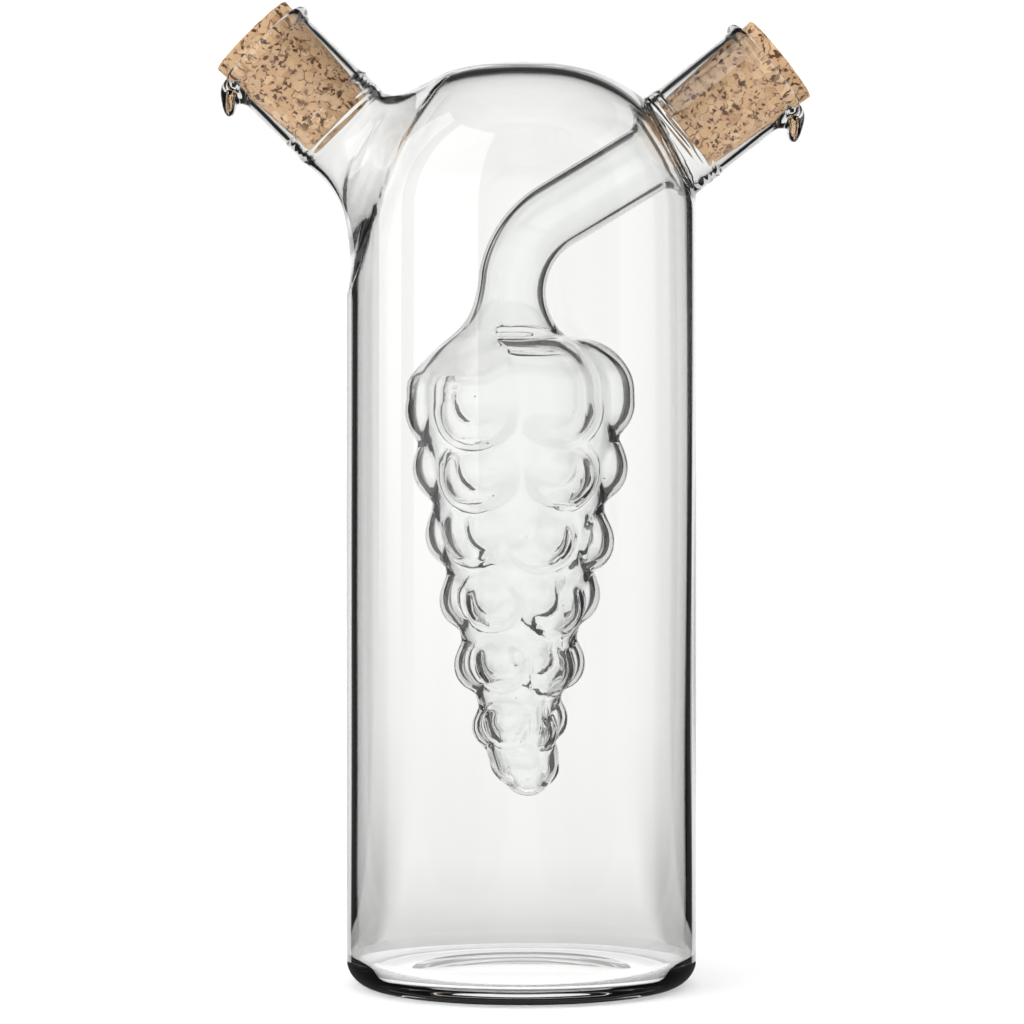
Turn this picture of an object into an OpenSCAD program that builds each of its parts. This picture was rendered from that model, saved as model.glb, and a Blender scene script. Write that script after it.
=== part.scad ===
// Blown glass cruet for oil and vinegar: a round bottle with two corked necks. The left
// neck opens into the bottle. The right neck runs on inside it as a bent tube, which ends
// in a hollow bunch of grapes, so that the two liquids never meet.
// The bottle stands on z = 0 with its axis on Z, and both necks lie in the XZ plane.

/* [Bottle] */
// Outer diameter of the bottle
bottle_d = 64; // [60:1:74]
// Height of the crown above the table
bottle_h = 168.7; // [150:0.1:190]
// Thickness of the blown wall
bottle_wall = 1.6; // [1.2:0.1:2.4]
// Radius that turns the wall into the crown
shoulder_r = 27; // [24:0.5:29]
// Radius of the flatter top of the crown
crown_r = 53; // [45:1:70]
// Radius round the foot
foot_r = 5; // [3:0.5:7]
// Thickness of the floor
floor_t = 3; // [2.4:0.1:4.5]
// Diameter of the pushed-up hollow under the floor
punt_d = 40; // [30:1:44]
// Height of that hollow
punt_h = 1.8; // [1:0.1:2.6]

/* [Necks] */
// Outer diameter of both necks
neck_d = 19.2; // [17.5:0.1:21]
// Thickness of the neck tube
neck_wall = 1.2; // [1:0.1:1.6]
// Radius of the bead melted round each rim
rim_bead_r = 1.3; // [0.9:0.1:1.6]
// How far the bead stands out past the tube
rim_bead_out = 1; // [0.4:0.1:1.4]
// Radius of the ring of glass left by each weld
weld_r = 1.4; // [1:0.1:2]
// How far a weld ring stands out past the tube
weld_out = 0.7; // [0.3:0.1:1]

/* [Oil neck] */
// Slope of the oil neck above the level
oil_slope = 45; // [38:0.5:55]
// Distance from the shoulder to the rim of the oil neck
oil_out = 26.3; // [22:0.1:30]
// How far the axis of the oil neck passes under the middle of the shoulder curve
oil_drop = 8.6; // [6:0.1:10]
// Length of the oil neck from its rim to its weld
oil_neck_l = 18.5; // [15:0.1:20]
// Radius of the curve between the oil neck and the wall below it
oil_blend_r = 18; // [12:0.5:24]

/* [Vinegar neck] */
// Slope of the vinegar neck above the level
vinegar_slope = 38.5; // [34:0.5:46]
// Distance from the shoulder to the rim of the vinegar neck
vinegar_out = 21.6; // [20:0.1:26]
// How far the axis of the vinegar neck passes under the middle of the shoulder curve
vinegar_drop = 4.5; // [3:0.1:7]
// Length of the vinegar neck from its rim to its weld
vinegar_neck_l = 20.5; // [18:0.1:21.5]
// Radius of the curve between the vinegar neck and the wall below it
vinegar_blend_r = 5; // [3:0.5:8]

/* [Pouring lips] */
// Radius of the hook that each lip follows
lip_bend_r = 5.3; // [4.5:0.1:6]
// Thickness of the lip along its middle
lip_t = 1.6; // [1.2:0.1:2]
// How far the hook turns from the plane of the rim
lip_turn = 88; // [60:1:100]
// Radius across the channel of the lip
lip_channel_r = 4.5; // [3.5:0.1:5]

/* [Corks] */
// Diameter of a cork at its outer end
cork_top_d = 17.6; // [16.5:0.1:18]
// Diameter of a cork at its inner end
cork_end_d = 14.8; // [13.5:0.1:15.5]
// Length of a cork
cork_l = 22.5; // [18:0.1:23.5]
// How far a cork stands out of the rim
cork_proud = 2.4; // [1.5:0.1:6]
// Rounding of the edges of a cork
cork_edge = 0.5; // [0.3:0.1:1]
// Gap all round a seated cork at the mouth
cork_gap = 0.05; // [0.03:0.01:0.1]

/* [Stem tube] */
// Outer diameter of the tube inside the bottle
stem_d = 12.6; // [11:0.1:14]
// Thickness of the tube
stem_wall = 1.2; // [1:0.1:1.6]
// Slope of its straight run above the level
stem_slope = 31; // [28:0.5:34]
// Radius of the bend that turns it down, on its middle line
stem_bend_r = 16.5; // [14:0.5:19]
// Length over which the wide collar narrows to the tube
collar_taper = 3.6; // [3:0.1:5]
// Length over which its lower end flares out
flare_l = 8.2; // [6:0.1:10]
// Diameter of the flared end, where the bunch is welded on
flare_d = 19; // [17:0.1:20]

/* [Bunch of grapes] */
// Distance of the middle of the bunch to the left of the axis of the bottle
bunch_left = 1.8; // [0:0.1:3]
// Length of the bunch from its weld to its tip
bunch_l = 83.7; // [70:0.1:90]
// Radius over the berries of the top row
bunch_r = 21.3; // [18:0.1:22]
// Depth of the rounded shoulder above the top row
bunch_shoulder = 11.5; // [9:0.1:13]
// Share of the radius that is lost from the top row to the last
bunch_taper = 0.58; // [0.5:0.01:0.62]
// How full the sides are, where 1 is a straight cone
bunch_fullness = 1.35; // [1:0.05:1.6]
// Number of rows of berries
berry_rows = 7; // [5:1:8]
// Distance of the last row from the tip
last_row = 12.2; // [10:0.1:14]
// Radius of a berry
berry_r = 6.3; // [5.5:0.1:6.8]
// Depth of the hollows between the berries
berry_valley = 2.8; // [1.5:0.1:3.4]
// Turn of the first berry of the top row from the front
berry_turn = 28; // [0:1:60]
// Thickness of the mould-blown wall
bunch_wall = 1.2; // [1:0.1:1.6]

/* [Hidden] */
$fn = 96;

// A length past every solid, for cuts that run right through
far = 200;
eps = 0.01;
// A straight tube laps the bend that it runs into, a hair wider, so that the two fuse
lap_l = 0.3;
lap_r = 0.03;

bottle_r = bottle_d / 2;
crown_z = bottle_h - crown_r;
shoulder_x = bottle_r - shoulder_r;
shoulder_z = crown_z + sqrt(pow(crown_r - shoulder_r, 2) - pow(shoulder_x, 2));
neck_r = neck_d / 2;
neck_bore_r = neck_r - neck_wall;
// The bottle's collar stops short of the vinegar weld, and its bore runs past the oil weld
collar_back = 1;
bore_past = 1;

// Rim of a neck in the XZ plane, on the side +1 or -1, from its slope, reach and drop
function reach(out, drop) = sqrt(pow(shoulder_r, 2) - pow(drop, 2)) + out;
function rim(side, slope, out, drop) = [
    side * (shoulder_x + reach(out, drop) * cos(slope) + drop * sin(slope)),
    shoulder_z + reach(out, drop) * sin(slope) - drop * cos(slope)];
oil_rim = rim(-1, oil_slope, oil_out, oil_drop);
vinegar_rim = rim(1, vinegar_slope, vinegar_out, vinegar_drop);

// Cork and mouth: the mouth is reamed to the taper of the cork
cork_draft = (cork_top_d - cork_end_d) / 2 / cork_l;
mouth_r = cork_top_d / 2 - cork_proud * cork_draft + cork_gap;
mouth_l = (mouth_r - neck_bore_r) / cork_draft;
mouth_round = 0.45;

// Lip: a gutter swept round a level axis under the rim, rooted a little inside the wall
lip_root = 0.7;
lip_root_turn = 20;
lip_side_r = lip_channel_r - 0.3;
lip_edge_h = 0.4;
channel_sink = 0.1;
lip_sink = 0.2;

// The stem leaves the neck axis at the shoulder and turns down over the bunch
stem_r = stem_d / 2;
stem_kink_r = 20;
kink = vinegar_slope - stem_slope;
kink_half = stem_kink_r * tan(kink / 2);
kink_in = 1.4;
kink_at = [vinegar_rim[0] - (vinegar_out + kink_in) * cos(vinegar_slope),
    vinegar_rim[1] - (vinegar_out + kink_in) * sin(vinegar_slope)];
collar_l = 4;
bend_half = stem_bend_r * tan((90 - stem_slope) / 2);
stem_run = (kink_at[0] + bunch_left) / cos(stem_slope);
bend_corner_z = kink_at[1] - stem_run * sin(stem_slope);
bend_end_z = bend_corner_z - bend_half;
bunch_z = bend_end_z - flare_l;
flare_r = flare_d / 2;

// Bunch: everything below is measured down from the weld
bunch_steps = 48;
shoulder_steps = 7;
side_steps = 30;
tip_steps = 5;
tip_depth = 6;
rows_l = bunch_l - bunch_shoulder - last_row;
row_pitch = rows_l / (berry_rows - 1);
blend_power = 20;
taper_steps = 8;
berry_pitch = 1.85 * berry_r;
last_share = 1.15;

// Share of the way from the top row to the last row, at depth d
function row_share(d) = min(last_share, max(0, (d - bunch_shoulder) / rows_l));
// Radius over the berries, before the hollows are taken out
function envelope(d) = bunch_r * (1 - bunch_taper * pow(row_share(d), bunch_fullness));
function ease(t) = t <= 0 ? 0 : t >= 1 ? 1 : t * t * (3 - 2 * t);
// Radius of the core that the berries stand out of
function core(d) = envelope(d) - berry_valley * ease((d - bunch_shoulder) / (row_pitch / 2));
// Berries of row i: depth, radius of their ring, number, and turn of the first
function row_depth(i) = bunch_shoulder + i * row_pitch;
function ring_r(i) = envelope(row_depth(i)) - berry_r;
function row_count(i) = max(3, round(2 * PI * ring_r(i) / berry_pitch));
function row_turn(i) = berry_turn + i * 180 / row_count(i);
// Turn from the nearest berry of a row that has one every s degrees
function off_berry(a, s) = a - s * round(a / s);
// Reach of the nearest berry of row i, in the direction a at depth d
function berry_reach(i, a, d) =
    let (t = off_berry(a - row_turn(i), 360 / row_count(i)),
        h = d - row_depth(i),
        in_it = pow(berry_r, 2) - h * h - pow(ring_r(i) * sin(t), 2))
    in_it <= 0 ? 0 : ring_r(i) * cos(t) + sqrt(in_it);
// Core and berries run into each other with soft hollows
function skin_r(a, d) = pow(
    pow(core(d), blend_power)
    + [for (i = [0:berry_rows - 1]) pow(berry_reach(i, a, d), blend_power)]
    * [for (i = [0:berry_rows - 1]) 1],
    1 / blend_power);

// Rings of the skin: [depth, share of the radius, lean of the wall above the level]
shoulder_rings = [for (k = [1:shoulder_steps])
    let (u = 90 * k / shoulder_steps) [bunch_shoulder * (1 - cos(u)), u, 90 - u]];
side_l = bunch_l - bunch_shoulder - tip_depth;
side_rings = [for (k = [1:side_steps]) [bunch_shoulder + side_l * k / side_steps, 90, 0]];
tip_rings = [for (k = [1:tip_steps])
    let (u = 90 * k / (tip_steps + 1)) [bunch_l - tip_depth * (1 - sin(u)), 90 + u, -u]];
bunch_rings = concat(shoulder_rings, side_rings, tip_rings);

// Radius of the outer skin on a ring, in the direction a
function ring_skin(g, a) =
    g[1] < 90 ? flare_r + (skin_r(a, bunch_shoulder) - flare_r) * sin(g[1])
    : skin_r(a, g[0]) * (g[1] > 90 ? cos(g[1] - 90) : 1);
function on_ring(r, a, d) = [r * sin(a), -r * cos(a), -d];
function outer_ring(g) = [for (k = [0:bunch_steps - 1])
    let (a = 360 * k / bunch_steps) on_ring(ring_skin(g, a), a, g[0])];
function inner_ring(g) = [for (k = [0:bunch_steps - 1])
    let (a = 360 * k / bunch_steps)
    on_ring(ring_skin(g, a) - bunch_wall * cos(g[2]), a, g[0] + bunch_wall * sin(g[2]))];
function level_ring(r, d) = [for (k = [0:bunch_steps - 1]) on_ring(r, 360 * k / bunch_steps, d)];

// Half section of a domed bottle that stands on z0, to be turned about Z
module dome_section(r, top, z0, shoulder, crown, foot) {
    zc = top - crown;
    zs = zc + sqrt(pow(crown - shoulder, 2) - pow(r - shoulder, 2));
    lean = (r - shoulder) / (zs - zc);
    union() {
        translate([0, z0 + foot]) square([r, zs - z0 - foot]);
        translate([0, z0]) square([r - foot, foot + eps]);
        intersection() {
            translate([r - foot, z0 + foot]) circle(foot);
            translate([0, z0]) square([r, foot + eps]);
        }
        intersection() {
            translate([r - shoulder, zs]) circle(shoulder);
            translate([0, zs - eps]) square([r, shoulder + eps]);
        }
        intersection() {
            translate([0, zc]) circle(crown);
            polygon([[0, zs - eps], [lean * (zs - eps - zc), zs - eps],
                [lean * (crown + eps), zc + crown + eps], [0, zc + crown + eps]]);
        }
    }
}

// Radius of the sphere whose cap is d wide and h high
function cap_r(d, h) = (pow(d / 2, 2) + h * h) / (2 * h);

module cap(d, h, z) {
    intersection() {
        translate([0, 0, z + h - cap_r(d, h)]) sphere(cap_r(d, h));
        translate([0, 0, z - eps]) cylinder(h + 2 * eps, d / 2 + eps, d / 2 + eps);
    }
}

// Places a neck: +Z runs out of the mouth and +X points to the low side of the rim
module at_rim(side, slope, place) {
    translate([place[0], 0, place[1]]) rotate([0, 90 - slope, side > 0 ? 0 : 180]) children();
}

// Tube that runs in from depth l under a rim and bends to the upright, so that its low
// side leads into the wall of the bottle
module blend_tube(side, slope, place, blend_r, l, tube_r) {
    run = blend_r + neck_r;
    centre = [bottle_r + blend_r,
        place[1] - (run - sin(slope) * (bottle_r + blend_r - abs(place[0]))) / cos(slope)];
    bend_depth = (abs(place[0]) - centre[0]) * cos(slope) + (place[1] - centre[1]) * sin(slope);
    translate([side * centre[0], 0, centre[1]]) rotate([90, 0, 0])
        rotate([0, 0, side > 0 ? 90 + slope : 0])
            rotate_extrude(angle = 90 - slope) translate([run, 0]) circle(tube_r);
    at_rim(side, slope, place) translate([0, 0, -bend_depth - lap_l])
        cylinder(bend_depth + lap_l - l, tube_r + lap_r, tube_r + lap_r);
}

// Ring of glass at a weld, on the outside of a neck tube
module weld_section() {
    translate([neck_r + weld_out - weld_r, 0]) circle(weld_r);
}

module bottle() {
    color([0.82, 0.87, 0.86, 0.35]) difference() {
        union() {
            rotate_extrude() dome_section(bottle_r, bottle_h, 0, shoulder_r, crown_r, foot_r);
            blend_tube(-1, oil_slope, oil_rim, oil_blend_r, oil_neck_l, neck_r);
            blend_tube(1, vinegar_slope, vinegar_rim, vinegar_blend_r, vinegar_neck_l + collar_back, neck_r);
            at_rim(-1, oil_slope, oil_rim) translate([0, 0, -oil_neck_l])
                rotate_extrude() intersection() {
                    weld_section();
                    translate([0, -far]) square([far, far]);
                }
            at_rim(1, vinegar_slope, vinegar_rim) translate([0, 0, -vinegar_neck_l - weld_r])
                rotate_extrude() weld_section();
        }
        rotate_extrude() dome_section(bottle_r - bottle_wall, bottle_h - bottle_wall, floor_t,
            shoulder_r - bottle_wall, crown_r - bottle_wall, foot_r - bottle_wall);
        blend_tube(-1, oil_slope, oil_rim, oil_blend_r, oil_neck_l - bore_past, neck_bore_r);
        cap(punt_d, punt_h, 0);
        vinegar_tube_body();
    }
}

// Half section of the outside of a neck: z = -l is its weld and z = 0 its rim
module neck_skin(l) {
    bead_x = neck_r + rim_bead_out - rim_bead_r;
    translate([0, -l]) square([neck_r, l - rim_bead_r]);
    translate([bead_x, -rim_bead_r]) circle(rim_bead_r);
    translate([0, -rim_bead_r]) square([bead_x, rim_bead_r]);
    translate([0, -l]) intersection() {
        weld_section();
        square([far, far]);
    }
}

// Half section of its bore, which ends in the reamed mouth
module neck_bore() {
    translate([0, -far]) square([neck_bore_r, far + eps]);
    polygon([[0, -mouth_l], [neck_bore_r, -mouth_l],
        [mouth_r - cork_draft * mouth_round, -mouth_round],
        [mouth_r + mouth_round, eps], [0, eps]]);
}

// Sweeps a section from inside the rim round the hook of the lip
module hook() {
    translate([neck_r - lip_root, 0, -lip_bend_r]) rotate([90, 0, 0]) rotate([0, 0, 90 - lip_turn])
        rotate_extrude(angle = lip_turn + lip_root_turn) children();
}

// Hooked lip on the low side of a rim, before its channel is cut
module lip() {
    difference() {
        hook() intersection() {
            translate([lip_bend_r - lip_t + lip_side_r, 0]) circle(lip_side_r);
            translate([0, -far]) square([lip_bend_r + lip_edge_h, 2 * far]);
        }
        translate([-far, -far, -lip_sink]) cube([2 * far, 2 * far, far]);
    }
}

module neck(side, slope, place, l) {
    at_rim(side, slope, place) difference() {
        union() {
            rotate_extrude() neck_skin(l);
            lip();
        }
        rotate_extrude() neck_bore();
        hook() translate([lip_bend_r + lip_channel_r - channel_sink, 0]) circle(lip_channel_r);
    }
}

module oil_neck() {
    color([0.82, 0.87, 0.86, 0.35]) neck(-1, oil_slope, oil_rim, oil_neck_l);
}

module vinegar_neck() {
    color([0.82, 0.87, 0.86, 0.35]) neck(1, vinegar_slope, vinegar_rim, vinegar_neck_l);
}

// Frame at the kink of the stem: +Z points back up its straight run
module at_kink() {
    translate([kink_at[0], 0, kink_at[1]]) rotate([0, 90 - stem_slope, 0]) children();
}

// The stem from its weld at the vinegar neck to its flared end, solid and thinner by
// wall. With past it runs on a little beyond both ends, to cut the bore right through.
module stem_body(wall, past) {
    kink_depth = vinegar_out + kink_in - kink_half + lap_l;
    at_rim(1, vinegar_slope, vinegar_rim) translate([0, 0, -kink_depth])
        cylinder(kink_depth - vinegar_neck_l + past, neck_r - wall + lap_r, neck_r - wall + lap_r);
    at_kink() translate([-stem_kink_r, 0, -kink_half]) rotate([90, 0, 0]) mirror([0, 0, 1])
        rotate_extrude(angle = kink) translate([stem_kink_r, 0]) circle(neck_r - wall);
    wide = neck_r - wall + lap_r;
    narrow = stem_r - wall + lap_r;
    run_end = bend_half - stem_run - lap_l;
    taper_at = -kink_half - collar_l;
    at_kink() rotate_extrude() polygon(concat([[0, run_end], [narrow, run_end]],
        [for (k = [0:taper_steps]) let (t = k / taper_steps)
            [narrow + (wide - narrow) * ease(t), taper_at + collar_taper * (t - 1)]],
        [[wide, lap_l - kink_half], [0, lap_l - kink_half]]));
    translate([stem_bend_r - bunch_left, 0, bend_end_z]) rotate([90, 0, 0])
        rotate([0, 0, 90 + stem_slope]) rotate_extrude(angle = 90 - stem_slope)
            translate([stem_bend_r, 0]) circle(stem_r - wall);
    translate([-bunch_left, 0, bunch_z]) rotate_extrude()
        polygon(concat([[0, -past], [flare_r - wall, -past]],
            [for (k = [0:taper_steps]) let (t = k / taper_steps)
                [flare_r - wall - (flare_r - stem_r - lap_r) * sin(90 * t), flare_l * t]],
            [[narrow, flare_l + lap_l], [0, flare_l + lap_l]]));
}

// All that the bottle is sealed round: the vinegar neck and the collar of the stem
module vinegar_tube_body() {
    at_rim(1, vinegar_slope, vinegar_rim) translate([0, 0, -vinegar_neck_l])
        cylinder(vinegar_neck_l, neck_r, neck_r);
    stem_body(0, 0);
}

module stem_tube() {
    color([0.82, 0.87, 0.86, 0.35]) difference() {
        stem_body(0, 0);
        stem_body(stem_wall, 1);
    }
}

module grape_flask() {
    n = bunch_steps;
    rings = len(bunch_rings);
    // The weld face first, then the outer skin down to the tip, then the inner skin
    points = concat(
        level_ring(flare_r, 0), [for (g = bunch_rings) each outer_ring(g)], [[0, 0, -bunch_l]],
        level_ring(flare_r - stem_wall, 0), [for (g = bunch_rings) each inner_ring(g)],
        [[0, 0, bunch_wall - bunch_l]]);
    inner = n * (rings + 1) + 1;
    function bands(first, out) = [for (i = [0:rings - 1]) for (k = [0:n - 1])
        let (a = first + i * n + k, b = first + i * n + (k + 1) % n)
        out ? [a, b, b + n, a + n] : [a, a + n, b + n, b]];
    function fan(first, tip, out) = [for (k = [0:n - 1])
        out ? [first + k, first + (k + 1) % n, tip] : [first + (k + 1) % n, first + k, tip]];
    weld = [for (k = [0:n - 1]) [k, inner + k, inner + (k + 1) % n, (k + 1) % n]];
    color([0.82, 0.87, 0.86, 0.35]) translate([-bunch_left, 0, bunch_z])
        polyhedron(points, concat(weld, bands(0, true), fan(n * rings, inner - 1, true),
            bands(inner, false), fan(inner + n * rings, inner + n * (rings + 1), false)));
}

module cork() {
    translate([0, 0, cork_proud - cork_l]) rotate_extrude()
        polygon([[0, 0], [cork_end_d / 2 - cork_edge, 0],
            [cork_end_d / 2 + cork_edge * cork_draft, cork_edge],
            [cork_top_d / 2 - cork_edge * cork_draft, cork_l - cork_edge],
            [cork_top_d / 2 - cork_edge, cork_l], [0, cork_l]]);
}

module oil_cork() {
    color([0.78, 0.6, 0.42]) at_rim(-1, oil_slope, oil_rim) cork();
}

module vinegar_cork() {
    color([0.78, 0.6, 0.42]) at_rim(1, vinegar_slope, vinegar_rim) cork();
}

bottle();
oil_neck();
vinegar_neck();
stem_tube();
grape_flask();
oil_cork();
vinegar_cork();
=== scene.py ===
"""Blown glass cruet for oil and vinegar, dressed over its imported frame.

The glass is one fused piece, as it is on the table: a bottle with two necks, and a tube
that runs on from the vinegar neck inside the bottle to a hollow bunch of grapes. It is
lofted ring by ring in millimetres, fused, and melted a little where its parts meet. Two
pressed corks close the necks.
"""

import logging
import math
from dataclasses import dataclass, field
from enum import Enum
from typing import Any, Callable, Optional, Sequence, Union

import bmesh
import bpy
import numpy as np
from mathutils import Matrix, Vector, kdtree


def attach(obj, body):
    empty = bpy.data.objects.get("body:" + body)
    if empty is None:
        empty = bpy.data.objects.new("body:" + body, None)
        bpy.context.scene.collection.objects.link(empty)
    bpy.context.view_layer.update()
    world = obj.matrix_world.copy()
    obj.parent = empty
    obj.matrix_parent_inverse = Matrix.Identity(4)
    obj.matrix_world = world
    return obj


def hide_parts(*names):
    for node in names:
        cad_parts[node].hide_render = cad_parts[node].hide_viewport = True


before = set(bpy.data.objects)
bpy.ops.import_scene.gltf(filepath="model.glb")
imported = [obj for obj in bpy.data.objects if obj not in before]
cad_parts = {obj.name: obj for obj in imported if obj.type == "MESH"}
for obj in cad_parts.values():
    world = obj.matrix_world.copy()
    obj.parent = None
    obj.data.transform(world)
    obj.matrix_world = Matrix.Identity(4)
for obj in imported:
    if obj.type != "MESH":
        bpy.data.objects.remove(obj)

LOG = logging.getLogger("cruet")
MM = 0.001
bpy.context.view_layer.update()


# Shader maths


class Wire:
    """A shader socket that takes part in sums, so that maths on it adds Math nodes."""

    def __init__(self, tree: bpy.types.NodeTree, socket: bpy.types.NodeSocket) -> None:
        """Keeps the socket and the tree that it is in."""
        self.tree = tree
        self.socket = socket

    def maths(self, operation: str, *values: Union["Wire", float]) -> "Wire":
        """Adds one Math node.

        Args:
            operation: The node's operation.
            values: Its inputs in order, wires or numbers.

        Returns:
            The wire of its result.
        """
        knot = self.tree.nodes.new("ShaderNodeMath")
        knot.operation = operation
        for place, value in enumerate(values):
            if isinstance(value, Wire):
                self.tree.links.new(value.socket, knot.inputs[place])
            else:
                knot.inputs[place].default_value = value
        return Wire(self.tree, knot.outputs[0])

    def __add__(self, other: Union["Wire", float]) -> "Wire":
        """Sum."""
        return self.maths("ADD", self, other)

    __radd__ = __add__

    def __sub__(self, other: Union["Wire", float]) -> "Wire":
        """Difference."""
        return self.maths("SUBTRACT", self, other)

    def __rsub__(self, other: Union["Wire", float]) -> "Wire":
        """Difference from a number."""
        return self.maths("SUBTRACT", other, self)

    def __mul__(self, other: Union["Wire", float]) -> "Wire":
        """Product."""
        return self.maths("MULTIPLY", self, other)

    __rmul__ = __mul__

    def above(self, low: float, high: float) -> "Wire":
        """Soft step: 0 up to low and 1 from high on, or the other way where low is larger."""
        knot = self.tree.nodes.new("ShaderNodeMapRange")
        knot.interpolation_type = "SMOOTHSTEP"
        self.tree.links.new(self.socket, knot.inputs["Value"])
        turned = low > high
        knot.inputs["From Min"].default_value = min(low, high)
        knot.inputs["From Max"].default_value = max(low, high)
        knot.inputs["To Min"].default_value = 1.0 if turned else 0.0
        knot.inputs["To Max"].default_value = 0.0 if turned else 1.0
        return Wire(self.tree, knot.outputs["Result"])


class Finish:
    """One material, built node by node."""

    def __init__(self, name: str) -> None:
        """Starts a material that holds a Principled shader and an output."""
        self.material = bpy.data.materials.new(name)
        self.material.use_nodes = True
        self.tree = self.material.node_tree
        self.tree.nodes.clear()
        self.shader = self.tree.nodes.new("ShaderNodeBsdfPrincipled")
        output = self.tree.nodes.new("ShaderNodeOutputMaterial")
        self.tree.links.new(self.shader.outputs["BSDF"], output.inputs["Surface"])

    def node(self, kind: str, settings: Optional[dict[str, Any]] = None, out: Union[int, str] = 0,
             **inputs: Any) -> Wire:
        """Adds any node.

        Args:
            kind: The node's type.
            settings: Its own settings, which are set first.
            out: The output that is wanted.
            inputs: Values or wires of its sockets; a space in a name is written as two
                underscores, and _0, _1 and so on stand for the place of a socket.

        Returns:
            The wire of the wanted output.
        """
        knot = self.tree.nodes.new(kind)
        for name, value in (settings or {}).items():
            setattr(knot, name, value)
        for name, value in inputs.items():
            key = int(name[1:]) if name[1:].isdigit() and name[0] == "_" else name.replace("__", " ")
            if isinstance(value, Wire):
                self.tree.links.new(value.socket, knot.inputs[key])
            else:
                knot.inputs[key].default_value = value
        return Wire(self.tree, knot.outputs[out])

    def ramp(self, fac: Wire, stops: Sequence[tuple[float, tuple[float, float, float]]],
             interpolation: str = "LINEAR") -> Wire:
        """Colour ramp.

        Args:
            fac: What runs along the ramp.
            stops: Places and colours.
            interpolation: How colours run between the stops.

        Returns:
            The wire of the colour.
        """
        knot = self.tree.nodes.new("ShaderNodeValToRGB")
        knot.color_ramp.interpolation = interpolation
        while len(knot.color_ramp.elements) < len(stops):
            knot.color_ramp.elements.new(0.5)
        for element, (place, colour) in zip(knot.color_ramp.elements, stops):
            element.position = place
            element.color = (*colour, 1.0)
        self.tree.links.new(fac.socket, knot.inputs["Fac"])
        return Wire(self.tree, knot.outputs["Color"])

    def blend(self, fac: Union[Wire, float], under: Any, over: Any, kind: str = "MIX") -> Wire:
        """Mixes two colours.

        Args:
            fac: Share of the second.
            under: The first colour.
            over: The second colour.
            kind: How they are mixed.

        Returns:
            The wire of the colour.
        """
        return self.node("ShaderNodeMix", {"data_type": "RGBA", "blend_type": kind}, 2,
                         _0=fac, _6=under, _7=over)

    def place(self, stretch: tuple[float, float, float] = (1.0, 1.0, 1.0)) -> Wire:
        """Object coordinates, stretched."""
        where = self.node("ShaderNodeTexCoord", out="Object")
        return self.node("ShaderNodeMapping", Vector=where, Scale=stretch)

    def noise(self, where: Wire, scale: float, detail: float = 3.0, rough: float = 0.5,
              out: str = "Fac") -> Wire:
        """Noise texture of that scale, in cells to the metre."""
        return self.node("ShaderNodeTexNoise", out=out, Vector=where, Scale=scale, Detail=detail,
                         Roughness=rough)

    def set(self, **values: Any) -> None:
        """Sets sockets of the shader, to values or wires."""
        for name, value in values.items():
            key = name.replace("__", " ")
            if isinstance(value, Wire):
                self.tree.links.new(value.socket, self.shader.inputs[key])
            else:
                self.shader.inputs[key].default_value = value


@dataclass(frozen=True)
class ClearGlass:
    """Clear flame-worked glass, with the faint draw lines of the tube it was blown from."""

    name: str = "clear_glass"
    ior: float = 1.473
    tint: tuple[float, float, float] = (0.990, 0.994, 0.992)
    line_scale: float = 420.0
    line_height: float = 0.000004
    sway_scale: float = 70.0
    bump: float = 0.35

    def make(self) -> bpy.types.Material:
        """Builds the material."""
        glass = Finish(self.name)
        lines = glass.noise(glass.place(stretch=(1.0, 1.0, 0.05)), self.line_scale, 1.0)
        sway = glass.noise(glass.place(), self.sway_scale, 0.0)
        height = lines * 0.3 + sway
        normal = glass.node("ShaderNodeBump", Strength=self.bump, Distance=self.line_height, Height=height)
        glass.set(Base__Color=(*self.tint, 1.0), Roughness=0.0, IOR=self.ior, Normal=normal)
        glass.shader.inputs["Transmission Weight"].default_value = 1.0
        return glass.material


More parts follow.
